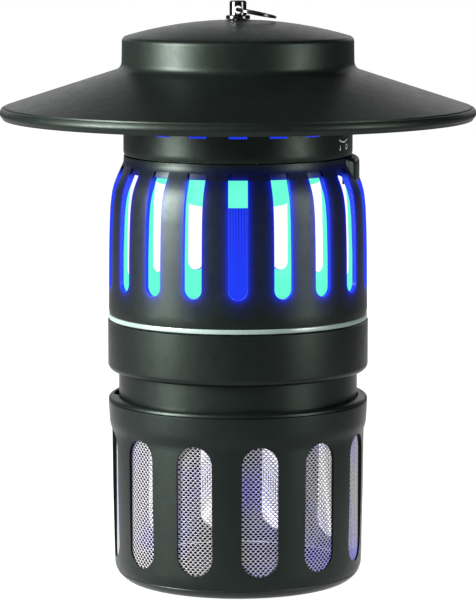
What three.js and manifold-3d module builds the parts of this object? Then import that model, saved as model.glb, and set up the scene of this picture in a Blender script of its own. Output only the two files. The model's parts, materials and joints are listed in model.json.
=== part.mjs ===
// A hanging or standing insect trap: a wide round roof over a windowed ultraviolet lamp chamber,
// a fan in a duct below it, and a pull-off mesh cage at the bottom that holds the catch.
// Millimetres, +Z up. The origin is the centre of the base, on the plane of the feet.
// Azimuth is counted in degrees from the front (-Y) towards +X.
import * as THREE from "three";
import { mergeVertices } from "three/addons/utils/BufferGeometryUtils.js";
import Module from "manifold-3d";

const wasm = await Module();
wasm.setup();

// ---- driving dimensions -------------------------------------------------------------------
const GAP = 0.3; // clearance between pieces that touch
const WALL = 2.3; // moulded wall thickness

const BRIM_RADIUS = 130.6;
const DRUM_RADIUS = 63.8; // upright part of the roof, above the brim
const DOME_TOP = 310.5;
const DOME_SPHERE = 220; // radius of the sphere that the crown belongs to
const BRIM_SLOPE = 0.325; // fall of the brim per unit of radius
const BRIM_TOP = { r: 128.6, z: 263.2 }; // where the sloping brim meets its rolled lip
const BRIM_BOTTOM = 256.4;

const POST_RADIUS = 4.65;
const POST_TOP = 321;
const POST_HOLE = { z: 316, r: 2.2 };
const FLANGE = { r: 6.65, z0: 310.8, z1: 313 };
const STUD_RADIUS = 3;

const RING = { mean: 10.8, wire: 0.6, pitch: 1.5, tilt: 11.4 };

const COLLAR = { r: 63, z0: 237.1, z1: 278 };
const VENT = { width: 10, z0: 250.8, z1: 270 };

const DECK = { cup: 45, floor: 222, flange: 236.6, r: 60.2, thick: 2.4 };
const LAMPHOLDER = { r: 28, z0: 209.5, chamfer: 2 };
const LAMP = { y: 13.2, base: 6.1, leg: 6.1, tube: 5.6, bottom: 150.5 };

const WINDOWS = 18;
const WINDOW = { width: 10.3, z0: 164.8, z1: 228 };
const SHELL = { z0: 149.3, z1: 236.3, flange: 52 };
const POD = { r: 66.8, azimuth: 90, half: 20, z0: 223 };

const TRIM = { r: 71.6, z0: 146.4, z1: 149 };
const BAND = { r: 71.9, z0: 118, z1: 146.1 };
const NECK = { r: 65.95, z0: 90 };
const DUCT = { r: 50.5, wall: 2.2, z0: 100, mouth: 68.2, top: 161, throat: 149.5, flange: 2.4, lip: 4.4 };
const FAN = { tip: 48.6, hub: 16, z0: 124, z1: 138, blades: 5, chord: 22, pitch: 28 };
const MOTOR = { r: 17.2, z0: 104.6, z1: 120.5 };
const SHAFT_RADIUS = 1.6;
const FLAP = { r: 49.4, pivot: { x: 3.4, z: 95.6 }, barrel: 2, pin: 0.8 };

const LUGS = [-97, 23, 143]; // azimuths of the three bayonet lugs
const LUG = { r: 68.2, z0: 98.8, z1: 101.1, half: 8 };
const CAGE_TOP = 103.6;
const CAGE_PARTING = 6; // joint line between the cage wall and its floor
const CAGE_INSIDE = 66.4; // inner radius of the cage wall
const CAGE_FLOOR = { underside: 0.8, thick: 2.6, flat: 56 };
const CAGE_SLOTS = 12;
const CAGE_SLOT = { half: 8.5, z0: 14, z1: 84.8, phase: 10 };
const BASE_CORNER = { r: 68.65, width: 8, height: 10, power: 1.25 };
const MESH = { thick: 0.8, top: 88.5 };
const FOOT = { circle: 48, r: 5, z1: 2.2 };

const SCREW = { head: 2.6, shank: 1.4, length: 6 };
const DUCT_SCREW = { head: 2.6, shank: 1.4, length: 4.2 };
const SMALL_SCREW = { head: 1.4, shank: 0.8, length: 4.3 };
const SCREW_CIRCLE = 56;
const DECK_SCREWS = [10, 130, 250]; // azimuths
const HUB_SCREWS = [-17, 17]; // distances along X
const DUCT_CIRCLE = 65.9;
const DUCT_SCREWS = [60, 180, 300]; // azimuths
const BRACKET = { floor: 102.3, top: 105, rim: 45.6, circle: 48 };
const BRACKET_SCREWS = [90, 210, 330]; // azimuths
const GUARD = { z0: 143.5, z1: 146 };
const GLAND = { z: 131.5, thread: 5, head: 8, bore: 3.4 };

const ROUND = 36; // facets of the windowed pieces, two to each window pitch
const SMOOTH = 40; // facets of the other large pieces
const MEDIUM = 24; // facets of the pieces inside
const SMALL = 14; // facets of the small turned pieces
const TINY = 8; // facets of the screws

// ---- materials ----------------------------------------------------------------------------
const finish = (color, roughness, metalness) =>
  new THREE.MeshStandardMaterial({ color, roughness, metalness });
const MOULDED = [0x23292a, 0.45, 0];
const PLATED = [0xb9bfc4, 0.14, 1];
const STEEL = [0x8d9296, 0.35, 1];
const RUBBER = [0x17191a, 0.8, 0];

// ---- solids -------------------------------------------------------------------------------
const radians = THREE.MathUtils.degToRad;

// Turns a closed geometry into a manifold-3d solid, so that it can be joined and cut.
function solid(geometry) {
  const plain = geometry.index ? geometry.toNonIndexed() : geometry.clone();
  plain.deleteAttribute("normal");
  plain.deleteAttribute("uv");
  const merged = mergeVertices(plain, 1e-3);
  return new wasm.Manifold(
    new wasm.Mesh({
      numProp: 3,
      vertProperties: new Float32Array(merged.attributes.position.array),
      triVerts: new Uint32Array(merged.index.array),
    }),
  );
}

// Turns a solid back into a geometry.
function geometryOf(body) {
  const mesh = body.getMesh();
  const geometry = new THREE.BufferGeometry();
  geometry.setAttribute("position", new THREE.BufferAttribute(mesh.vertProperties, 3));
  geometry.setIndex(new THREE.BufferAttribute(mesh.triVerts, 1));
  geometry.computeVertexNormals();
  return geometry;
}

const join = (...bodies) => bodies.reduce((sum, body) => sum.add(body));
const cut = (body, ...tools) => tools.reduce((rest, tool) => rest.subtract(tool), body);

// Points of an arc in the r-z plane, angles in degrees from the +r direction.
function arc(r, z, radius, from, to, steps) {
  return Array.from({ length: steps + 1 }, (_, i) => {
    const a = radians(from + ((to - from) * i) / steps);
    return [r + radius * Math.cos(a), z + radius * Math.sin(a)];
  });
}

// A ring turned about Z from a closed outline of [r, z] points, listed anticlockwise.
function turned(outline, facets = SMOOTH) {
  const points = outline.map(([r, z]) => new THREE.Vector2(r, z));
  points.push(points[0].clone());
  return solid(new THREE.LatheGeometry(points, facets).rotateX(Math.PI / 2));
}

// The same for a windowed piece: each window falls in the middle of a facet.
const windowed = (outline) => turn(turned(outline, ROUND), 180 / ROUND);

// A solid of revolution whose outline starts and ends on the axis.
function spindle(outline, facets = SMALL) {
  const points = outline.map(([r, z]) => new THREE.Vector2(r, z));
  return solid(new THREE.LatheGeometry(points, facets).rotateX(Math.PI / 2));
}

const tube = (inner, outer, z0, z1, facets) =>
  turned([[inner, z0], [outer, z0], [outer, z1], [inner, z1]], facets);

const rod = (radius, z0, z1, facets) =>
  spindle([[0, z0], [radius, z0], [radius, z1], [0, z1]], facets);

function block(x0, x1, y0, y1, z0, z1) {
  const box = new THREE.BoxGeometry(x1 - x0, y1 - y0, z1 - z0);
  return solid(box.translate((x0 + x1) / 2, (y0 + y1) / 2, (z0 + z1) / 2));
}

// An outline drawn in x and z, pushed from y = -from to y = -to.
function plate(shape, from, to, curveSegments) {
  const options = { depth: to - from, bevelEnabled: false, curveSegments };
  return solid(new THREE.ExtrudeGeometry(shape, options).rotateX(Math.PI / 2).translate(0, -from, 0));
}

// An outline drawn in x and y, raised from z0 to z1.
function slab(shape, z0, z1, curveSegments = 4) {
  const options = { depth: z1 - z0, bevelEnabled: false, curveSegments };
  return solid(new THREE.ExtrudeGeometry(shape, options).translate(0, 0, z0));
}

// A solid turned about Z by an azimuth, and one first moved out to a circle.
const turn = (body, azimuth) => body.rotate([0, 0, azimuth]);
const outward = (body, circle, azimuth) => turn(body.translate([0, -circle, 0]), azimuth);

// Equally spaced copies of a front-facing tool round the axis, and one copy at each window.
const copies = (tool, count, phase = 0) =>
  Array.from({ length: count }, (_, i) => turn(tool, (i * 360) / count + phase));
const everyWindow = (tool) => copies(tool, WINDOWS);

// An outline with round ends: two semicircles whose centres lie at x = -half and x = half.
function obround(half, radius) {
  const shape = new THREE.Shape();
  shape.absarc(half, 0, radius, -Math.PI / 2, Math.PI / 2);
  shape.absarc(-half, 0, radius, Math.PI / 2, (3 * Math.PI) / 2);
  return shape;
}

// The part of a ring that lies between two azimuths.
function sector(inner, outer, z0, z1, azimuth, half, steps = 6) {
  const shape = new THREE.Shape();
  const from = radians(azimuth - half) - Math.PI / 2;
  const to = radians(azimuth + half) - Math.PI / 2;
  for (let i = 0; i <= steps; i++) {
    const a = from + ((to - from) * i) / steps;
    shape[i ? "lineTo" : "moveTo"](outer * Math.cos(a), outer * Math.sin(a));
  }
  for (let i = steps; i >= 0; i--) {
    const a = from + ((to - from) * i) / steps;
    shape.lineTo(inner * Math.cos(a), inner * Math.sin(a));
  }
  return slab(shape, z0, z1);
}

// Outline of a countersunk screw, head up, grown all round by an allowance. z is the head's top.
function screwOutline(z, head, shank, length, grow) {
  const cone = head - shank;
  const lip = 0.5;
  return [
    [0, z - length - grow],
    [shank + grow, z - length - grow],
    [shank + grow, z - lip - cone],
    [head + grow, z - lip],
    [head + grow, z + grow * 4],
    [0, z + grow * 4],
  ];
}

// A slotted countersunk screw, and the hole that it sits in.
function screwSolid({ head, shank, length }, z) {
  const body = spindle(screwOutline(z, head, shank, length, 0), TINY);
  return cut(body, block(-head, head, -0.35, 0.35, z - 0.8, z + 1));
}
const screwHole = ({ head, shank, length }, z) => spindle(screwOutline(z, head, shank, length, GAP), TINY);

// ---- the assembly -------------------------------------------------------------------------
const trap = new THREE.Group();
trap.name = "insect_trap";

function add(name, geometry, look) {
  const mesh = new THREE.Mesh(geometry, finish(...look));
  mesh.name = name;
  trap.add(mesh);
  return mesh;
}

const addSolid = (name, body, look) => add(name, geometryOf(body), look);

// Copies of a front-facing tool moved out to a circle, one at each azimuth.
const onCircle = (tool, circle, azimuths) => azimuths.map((a) => outward(tool, circle, a));

// Height of the brim's upper face at a radius.
const brimAt = (r) => BRIM_TOP.z + BRIM_SLOPE * (BRIM_TOP.r - r);
// Height of the crown at a radius, lowered by an inset measured along its sphere.
const domeAt = (r, inset = 0) =>
  DOME_TOP - DOME_SPHERE + Math.sqrt((DOME_SPHERE - inset) ** 2 - r * r);

// The roof: a shallow crown on a short drum, and a sloping brim with a rolled lip. One thin shell.
function roofHat() {
  const corner = 3;
  const fillet = 5;
  const cornerR = DRUM_RADIUS - 0.2 - corner;
  const filletR = DRUM_RADIUS + fillet;
  const brimAngle = THREE.MathUtils.radToDeg(Math.atan(BRIM_SLOPE));
  const filletZ = brimAt(filletR) + fillet / Math.cos(radians(brimAngle));
  const boreR = STUD_RADIUS + 0.4;
  const under = WALL / Math.cos(radians(brimAngle));
  const insideR = DRUM_RADIUS - WALL;
  const outer = [
    [BRIM_TOP.r, BRIM_TOP.z],
    ...arc(filletR, filletZ, fillet, 270 - brimAngle, 180, 2),
    ...arc(cornerR, domeAt(cornerR, corner), corner, 0, 72, 2),
    ...[50, 34, 17].map((r) => [r, domeAt(r)]),
    [boreR, domeAt(boreR)],
  ];
  const inner = [
    [boreR, domeAt(boreR, WALL)],
    [32, domeAt(32, WALL)],
    [insideR - 2, domeAt(insideR, WALL) + 0.4],
    [insideR, domeAt(insideR, WALL) - 2],
    [insideR, brimAt(insideR + 3) - under + 3],
    [insideR + 3, brimAt(insideR + 3) - under],
    [BRIM_RADIUS - 4.2, brimAt(BRIM_RADIUS - 4.2) - under],
    [BRIM_RADIUS - 3.5, BRIM_BOTTOM],
  ];
  const lip = [
    [BRIM_RADIUS - 1.3, BRIM_BOTTOM + 0.5],
    [BRIM_RADIUS - 0.2, BRIM_BOTTOM + 1.6],
    [BRIM_RADIUS, BRIM_BOTTOM + 4.2],
    [BRIM_RADIUS - 0.5, BRIM_BOTTOM + 5.8],
  ];
  return turned([...inner, ...lip, ...outer]);
}

// The hanging post: a plated turned post with a cross hole, a flange, and a stud through the roof.
function hangerPost() {
  const body = spindle([
    [0, 274],
    [STUD_RADIUS, 274],
    [STUD_RADIUS, FLANGE.z0],
    [FLANGE.r, FLANGE.z0],
    [FLANGE.r, FLANGE.z1 - 0.4],
    [FLANGE.r - 0.4, FLANGE.z1],
    [POST_RADIUS, FLANGE.z1],
    [POST_RADIUS, POST_TOP - 0.8],
    [POST_RADIUS - 0.8, POST_TOP],
    [0, POST_TOP],
  ]);
  const hole = rod(POST_HOLE.r, -10, 10, 16).rotate([90, 0, 0]).translate([0, 0, POST_HOLE.z]);
  return cut(body, hole);
}

// The curve that the wire of the split ring follows: two turns, rising by one pitch a turn.
class RingCurve extends THREE.Curve {
  getPoint(t, target = new THREE.Vector3()) {
    const a = t * 4 * Math.PI;
    return target.set(
      RING.mean * Math.cos(a),
      RING.mean * Math.sin(a),
      RING.pitch * (2 * t - 1),
    );
  }
}

function addSplitRing() {
  const section = new THREE.Shape();
  section.absarc(0, 0, RING.wire, 0, 2 * Math.PI);
  const options = { steps: 40, extrudePath: new RingCurve(), curveSegments: 3, bevelEnabled: false };
  const body = solid(new THREE.ExtrudeGeometry(section, options));
  const pivot = new THREE.Group();
  pivot.position.z = POST_HOLE.z;
  pivot.rotation.y = radians(RING.tilt);
  const ring = add("split_ring", geometryOf(body), PLATED);
  ring.position.x = RING.mean - RING.wire;
  pivot.add(ring);
  trap.add(pivot);
}

// Top end: the roof, the post that carries it all, and the can that the post is bolted to.
function addTopEnd() {
  const canTop = 283;
  const canR = 44.5;
  addSolid("roof_hat", roofHat(), MOULDED);
  addSolid("hanger_post", hangerPost(), PLATED);
  addSplitRing();
  addSolid("roof_spacer", tube(STUD_RADIUS + GAP, 8, canTop + GAP, 307.7, SMALL), MOULDED);
  const hex = cut(rod(5.8, canTop - 7, canTop - WALL - GAP, 6), rod(STUD_RADIUS + GAP, 270, canTop, 16));
  addSolid("hanger_nut", hex, STEEL);
  const foot = DECK.flange + DECK.thick + GAP;
  const can = turned(
    [
      [STUD_RADIUS + 0.4, canTop],
      [STUD_RADIUS + 0.4, canTop - WALL],
      [canR - WALL, canTop - WALL],
      [canR - WALL, foot],
      [canR + 1, foot],
      [canR + 1, foot + 2],
      [canR, foot + 2],
      [canR, canTop - 3],
      [canR - 3, canTop],
    ],
    MEDIUM,
  );
  addSolid("ballast_can", can, MOULDED);
  const floor = DECK.floor + DECK.thick + GAP;
  addSolid("ballast", block(-20, 20, -15, 15, floor, floor + 34), [0x9a9d9f, 0.5, 0.8]);
  addSolid("terminal_block", block(-14, 14, 19, 29, floor, floor + 11), [0xe4e2da, 0.5, 0]);
}

// The deck: a dished plate across the top of the chamber. Its floor carries the lampholder.
function addDeck() {
  const { cup, floor, flange, r, thick } = DECK;
  const dish = windowed([
    [2, floor],
    [cup, floor],
    [cup, flange],
    [r, flange],
    [r, flange + thick],
    [cup - thick, flange + thick],
    [cup - thick, floor + thick],
    [2, floor + thick],
  ]);
  const vent = block(-7, 7, -50.6, -46.6, flange - 1, flange + thick + 1);
  const vents = copies(vent, WINDOWS / 2);
  const rimHoles = onCircle(screwHole(SCREW, flange + thick), SCREW_CIRCLE, DECK_SCREWS);
  const hubHoles = HUB_SCREWS.map((x) => screwHole(SCREW, floor + thick).translate([x, 0, 0]));
  addSolid("lamp_deck", cut(dish, ...vents, ...rimHoles, ...hubHoles), MOULDED);
  DECK_SCREWS.forEach((a, i) => {
    const screw = outward(screwSolid(SCREW, flange + thick), SCREW_CIRCLE, a);
    addSolid("deck_screw_" + (i + 1), screw, STEEL);
  });
  HUB_SCREWS.forEach((x, i) => {
    const screw = screwSolid(SCREW, floor + thick).translate([x, 0, 0]);
    addSolid("lampholder_screw_" + (i + 1), screw, STEEL);
  });
}

// The lampholder under the deck, and two U-shaped lamps plugged into its pockets.
function addLamps() {
  const { r, z0, chamfer } = LAMPHOLDER;
  const top = DECK.floor - GAP;
  const pocketTop = z0 + 9.5;
  const seat = z0 + 2 * GAP;
  const outline = [[0, z0], [r - chamfer, z0], [r, z0 + chamfer * 0.8], [r, top], [0, top]];
  const pocket = turn(slab(obround(LAMP.leg, LAMP.base + GAP), z0 - 1, pocketTop), 90);
  const pockets = [-LAMP.y, LAMP.y].map((y) => pocket.translate([0, y, 0]));
  const holes = HUB_SCREWS.map((x) => screwHole(SCREW, DECK.floor + DECK.thick).translate([x, 0, 0]));
  addSolid("lampholder", cut(spindle(outline, MEDIUM), ...pockets, ...holes), [0xd8dcdc, 0.5, 0]);
  [["front", -LAMP.y], ["rear", LAMP.y]].forEach(([side, y]) => {
    const base = turn(slab(obround(LAMP.leg, LAMP.base), seat, pocketTop - GAP), 90);
    addSolid("lamp_base_" + side, base.translate([0, y, 0]), [0xeceae4, 0.4, 0]);
    const section = new THREE.Shape();
    section.absarc(0, 0, LAMP.tube, 0, 2 * Math.PI);
    const extrudePath = new LampCurve(seat - GAP);
    const options = { steps: 20, extrudePath, curveSegments: 5, bevelEnabled: false };
    const lamp = turn(solid(new THREE.ExtrudeGeometry(section, options)), 90);
    addSolid("lamp_tube_" + side, lamp.translate([0, y, 0]), [0x3b5bff, 0.1, 0]);
  });
}

// The centre line of a U-shaped lamp: down one leg, round a half circle, and up the other.
class LampCurve extends THREE.Curve {
  constructor(top) {
    super();
    this.bend = LAMP.bottom + LAMP.tube + LAMP.leg;
    this.straight = top - this.bend;
    this.length = 2 * this.straight + Math.PI * LAMP.leg;
  }

  getPoint(t, target = new THREE.Vector3()) {
    const s = t * this.length;
    const fromEnd = this.length - s;
    if (s < this.straight) return target.set(-LAMP.leg, 0, this.bend + this.straight - s);
    if (fromEnd < this.straight) return target.set(LAMP.leg, 0, this.bend + this.straight - fromEnd);
    const a = Math.PI + (s - this.straight) / LAMP.leg;
    return target.set(LAMP.leg * Math.cos(a), 0, this.bend + LAMP.leg * Math.sin(a));
  }
}

// The collar between roof and chamber. It turns a few degrees to switch the trap on and off,
// and its vents let warm air out under the brim.
function addSwitch() {
  const { r, z0, z1 } = COLLAR;
  const inner = r - WALL;
  const ring = windowed([[inner, z0], [r - 0.4, z0], [r, z0 + 0.5], [r, z1], [inner, z1]]);
  const vents = everyWindow(block(-VENT.width / 2, VENT.width / 2, -r - 2, -inner + 3, VENT.z0, VENT.z1));
  addSolid("switch_ring", cut(ring, ...vents), MOULDED);
  const magnet = block(-4, 4, -inner + 1.2, -inner + 3.8, z0 + 3, z0 + 11);
  addSolid("switch_magnet", turn(magnet, POD.azimuth), [0x5c5f62, 0.4, 0.8]);
  const reed = block(-6, 6, -64.5, -62.2, 229.9, 234.6);
  addSolid("reed_switch", turn(reed, POD.azimuth), [0xd9dde0, 0.3, 0]);
}

// The windowed chamber wall: rounded shoulder, flat-topped windows with round ends below, an
// inward flange at the top that the deck is screwed to, and the boss that covers the switch.
function addLampShell() {
  const spigot = TRIM.r - 2.4;
  const { z0, z1, flange } = SHELL;
  const wall = windowed([
    [spigot - 2.6, BAND.z1 - 6],
    [spigot, BAND.z1 - 6],
    [spigot, z0],
    [71.1, z0],
    [71.45, z0 + 0.4],
    [71.1, 185],
    [70.4, 207],
    [69.2, 217],
    [66.9, 224.2],
    [64.9, 228.6],
    [62.9, 232.8],
    [62.85, z1],
    [flange, z1],
    [flange, z1 - 2.4],
    [60.4, z1 - 2.4],
    [60.6, 231.4],
    [62, 227.4],
    [66, 219],
    [67.9, 207],
    [69, 152],
  ]);
  const boss = sector(61, POD.r, POD.z0, z1, POD.azimuth, POD.half, 8);
  const pocket = turn(block(-7, 7, -64.9, -61.8, 229.4, z1 + 1), POD.azimuth);
  const opening = new THREE.Shape();
  const half = WINDOW.width / 2;
  opening.moveTo(half, WINDOW.z1);
  opening.lineTo(-half, WINDOW.z1);
  opening.lineTo(-half, WINDOW.z0 + half);
  opening.absarc(0, WINDOW.z0 + half, half, Math.PI, 2 * Math.PI);
  const windows = everyWindow(plate(opening, 55, 80, 2));
  const holes = onCircle(screwHole(SCREW, DECK.flange + DECK.thick), SCREW_CIRCLE, DECK_SCREWS);
  const body = cut(join(wall, boss), pocket, ...windows, ...holes);
  addSolid("lamp_shell", body, MOULDED);
  const trim = [[spigot + GAP, TRIM.z0], [TRIM.r, TRIM.z0], [TRIM.r, TRIM.z1], [spigot + GAP, TRIM.z1]];
  addSolid("trim_ring", windowed(trim), [0xb9d3c6, 0.35, 0.2]);
}

// The fan housing: a wide band that hides the duct, stepping in to the neck that the cage fits on.
function addFanHousing() {
  const { r, z0, z1 } = BAND;
  const step = z0 + WALL;
  const body = turned(
    [
      [NECK.r - WALL, NECK.z0],
      [NECK.r, NECK.z0],
      [NECK.r, z0],
      [68.1, z0],
      [69.9, z0 + 1.1],
      [71.3, z0 + 2.3],
      [r, z0 + 3.6],
      [r, z1],
      [r - WALL, z1],
      [r - WALL, step],
      [NECK.r - WALL, step],
    ],
    SMOOTH,
  );
  const lugs = LUGS.map((a) => sector(NECK.r - 1, LUG.r, LUG.z0, LUG.z1, a, LUG.half, 4));
  const inlet = rod(GLAND.thread + GAP, 60, 80, 16).rotate([90, 0, 180]).translate([0, 0, GLAND.z]);
  const holes = onCircle(screwHole(DUCT_SCREW, step + GAP + DUCT.flange), DUCT_CIRCLE, DUCT_SCREWS);
  addSolid("fan_housing", cut(join(body, ...lugs), inlet, ...holes), MOULDED);
}

// The duct: a funnel that leads from the chamber down to a straight throat round the fan.
function addDuct() {
  const { r, wall, z0, mouth, top, throat, flange, lip } = DUCT;
  const outer = r + wall;
  const seat = BAND.z0 + WALL + GAP;
  const body = turned(
    [
      [r - lip, z0],
      [outer, z0],
      [outer, seat],
      [BAND.r - WALL - GAP, seat],
      [BAND.r - WALL - GAP, seat + flange],
      [outer, seat + flange],
      [outer, throat - 0.8],
      [mouth, top - 2],
      [mouth, top],
      [r, throat],
      [r, z0 + 2],
      [r - lip, z0 + 2],
    ],
    SMOOTH,
  );
  const ears = [-1, 1].map((side) => {
    const from = Math.min(side * (r - 0.7), side * (outer - 0.2));
    const ear = block(-8, 8, from, from + wall + 0.5, FLAP.pivot.z - 3, z0 + 1);
    const bores = [-1, 1].map((s) =>
      rod(FLAP.pin + GAP, -60, 60, 10).rotate([90, 0, 0]).translate([s * FLAP.pivot.x, 0, FLAP.pivot.z]),
    );
    return cut(ear, ...bores);
  });
  const holes = onCircle(screwHole(DUCT_SCREW, seat + flange), DUCT_CIRCLE, DUCT_SCREWS);
  const lipHoles = onCircle(screwHole(SMALL_SCREW, BRACKET.top), BRACKET.circle, BRACKET_SCREWS);
  addSolid("funnel_duct", cut(join(body, ...ears), ...holes, ...lipHoles), MOULDED);
  DUCT_SCREWS.forEach((a, i) => {
    addSolid("duct_screw_" + (i + 1), outward(screwSolid(DUCT_SCREW, seat + flange), DUCT_CIRCLE, a), STEEL);
  });
}

// The guard over the fan: rings joined by radial bars.
function addGuard() {
  const { z0, z1 } = GUARD;
  const rim = DUCT.r - 2 * GAP;
  const rings = [[10, 13], [28, 30], [rim - 2.3, rim]].map(([a, b]) => tube(a, b, z0, z1, MEDIUM));
  const bar = block(-1, 1, -rim + 1.4, -11.5, z0, z1);
  const bars = copies(bar, 6, 30);
  addSolid("fan_guard", join(...rings, ...bars), MOULDED);
}

// The motor in its bracket, and the rotor on the motor's shaft.
function addFan() {
  const { r, z0, z1 } = MOTOR;
  const boss = 5;
  const lowerEnd = [[0, z0], [r - 1.5, z0], [r, z0 + 1.5]];
  const upperEnd = [[r, z1 - 1.5], [r - 1.5, z1 - 0.5], [boss, z1 - 0.5], [boss, z1 + 1], [0, z1 + 1]];
  const motor = spindle([...lowerEnd, ...upperEnd], MEDIUM);
  addSolid("motor", cut(motor, rod(SHAFT_RADIUS + GAP, z0 + 2, z1 + 2, 12)), STEEL);
  const { top, floor, rim } = BRACKET;
  const cupR = r + GAP + 2;
  const cupOutside = [[9, floor], [cupR, floor], [cupR, floor + 9]];
  const cup = turned([...cupOutside, [r + GAP, floor + 9], [r + GAP, z0 - GAP], [9, z0 - GAP]], MEDIUM);
  const arm = block(-2, 2, -rim - 1, -r - 1, floor, top);
  const arms = copies(arm, 3, 30);
  const hoop = tube(rim, DUCT.r - GAP, DUCT.z0 + 2 + GAP, top, MEDIUM);
  const holes = onCircle(screwHole(SMALL_SCREW, top), BRACKET.circle, BRACKET_SCREWS);
  addSolid("motor_bracket", cut(join(cup, hoop, ...arms), ...holes), MOULDED);
  BRACKET_SCREWS.forEach((a, i) => {
    addSolid("bracket_screw_" + (i + 1), outward(screwSolid(SMALL_SCREW, top), BRACKET.circle, a), STEEL);
  });
  addSolid("motor_shaft", rod(SHAFT_RADIUS, z0 + 3, FAN.z1 + 2.5, 12), STEEL);
  addSolid("fan_rotor", rotor(), [0x2d3436, 0.5, 0]);
  const clip = cut(rod(4.5, FAN.z1 + GAP, FAN.z1 + 4, 16), rod(SHAFT_RADIUS + GAP, FAN.z1, FAN.z1 + 3, 12));
  addSolid("fan_cap", clip, [0x2d3436, 0.5, 0]);
}

// The rotor: a hub with pitched blades, cut round at the tips.
function rotor() {
  const { tip, hub, z0, z1, blades, chord, pitch } = FAN;
  const flat = block(-chord / 2, chord / 2, -tip - 3, -hub + 2, -0.8, 0.8);
  const blade = flat.rotate([0, pitch, 0]).translate([0, 0, (z0 + z1) / 2]);
  const swept = join(...copies(blade, blades)).intersect(rod(tip, z0, z1, MEDIUM));
  return cut(join(rod(hub, z0, z1, MEDIUM), swept), rod(SHAFT_RADIUS + GAP, z0 - 1, z1 + 1, 12));
}

// Two half-round shutter flaps below the fan. The airflow holds them open; they close when it stops.
function addFlaps() {
  const { r, pivot, barrel, pin } = FLAP;
  [["right", 1], ["left", -1]].forEach(([side, sign]) => {
    const edge = pivot.x + barrel + GAP;
    const shape = new THREE.Shape();
    const start = Math.acos(edge / r);
    shape.absarc(0, 0, r, -start, start);
    const leaf = slab(shape, pivot.z - 0.6, pivot.z + 0.6, 9);
    const web = block(pivot.x, edge + 1, -40, 40, pivot.z - 0.6, pivot.z + 0.6);
    const knuckle = rod(barrel, -46, 46, 12).rotate([90, 0, 0]).translate([pivot.x, 0, pivot.z]);
    const bore = rod(pin + GAP, -60, 60, 10).rotate([90, 0, 0]).translate([pivot.x, 0, pivot.z]);
    const flap = cut(join(leaf, web, knuckle), bore);
    const placed = sign > 0 ? flap : flap.rotate([0, 0, 180]);
    addSolid("flap_" + side, placed, MOULDED);
    const wire = rod(pin, -DUCT.r - 1.6, DUCT.r + 1.6, 10).rotate([90, 0, 0]);
    addSolid("flap_pin_" + side, wire.translate([sign * pivot.x, 0, pivot.z]), STEEL);
  });
}

// The cable inlet at the back of the housing: a bored gland, and the nut that clamps it.
function addGland() {
  const { z, thread, head, bore } = GLAND;
  const seat = BAND.r + GAP;
  const inner = [[bore, 62], [thread, 62], [thread, seat]];
  const body = turned([...inner, [head, seat], [head, 76], [thread, 83], [bore, 83]], MEDIUM);
  const place = (part) => part.rotate([90, 0, 180]).translate([0, 0, z]);
  addSolid("cable_gland", place(body), RUBBER);
  const face = BAND.r - WALL - 2;
  const nut = cut(rod(head, face - 3.6, face, 6), rod(thread + GAP, face - 5, face + 2, 16));
  addSolid("gland_nut", place(nut), STEEL);
}

// The catch cage: a slotted wall with a bayonet rim, a mesh liner, a floor with feet, and the
// rubber seal between its rim and the neck.
function addCage() {
  const bottom = CAGE_PARTING + GAP;
  const wall = turned(
    [
      [CAGE_INSIDE, bottom],
      [cornerRadius(bottom), bottom],
      [68.6, 9.4],
      [69.5, 51.7],
      [69.8, 83.8],
      [70.3, 89.4],
      [71.4, 95.3],
      [71.7, 100.7],
      [71.3, 101.1],
      [71.7, 101.5],
      [71.4, 102.5],
      [70.4, CAGE_TOP],
      [NECK.r + 2 * GAP, CAGE_TOP],
      [NECK.r + 2 * GAP, LUG.z1 + GAP],
      [68.9, LUG.z1 + GAP],
      [68.9, 91.2],
      [67.3, 89.6],
    ],
    SMOOTH,
  );
  const slot = new THREE.Shape();
  const { half, z0, z1, phase } = CAGE_SLOT;
  const halfWidth = 69.5 * Math.sin(radians(half));
  slot.absarc(0, z1 - halfWidth, halfWidth, 0, Math.PI);
  slot.absarc(0, z0 + halfWidth, halfWidth, Math.PI, 2 * Math.PI);
  const slots = copies(plate(slot, 62, 75, 3), CAGE_SLOTS, phase);
  const notch = { r: LUG.r + 0.5, half: LUG.half + 1.5 };
  const entries = LUGS.map((a) => sector(NECK.r - 1, notch.r, LUG.z1, CAGE_TOP + 1, a, notch.half, 4));
  addSolid("cage_wall", cut(wall, ...slots, ...entries), MOULDED);
  const liner = tube(CAGE_INSIDE - GAP - MESH.thick, CAGE_INSIDE - GAP, bottom, MESH.top, SMOOTH);
  addSolid("cage_mesh", liner, [0xd9dbe2, 0.35, 0.7]);
  addSolid("rim_seal", tube(NECK.r + GAP, 68.6, 92.2, LUG.z0 - GAP, SMOOTH), RUBBER);
  addFloor();
}

// Radius of the rounded bottom edge at a height: a rounded corner, flatter than a circle.
function cornerRadius(z) {
  const { r, width, height, power } = BASE_CORNER;
  const rise = Math.min(1, Math.max(0, 1 - z / height));
  return r - width + width * (1 - rise ** (2 / power)) ** (power / 2);
}

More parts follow.
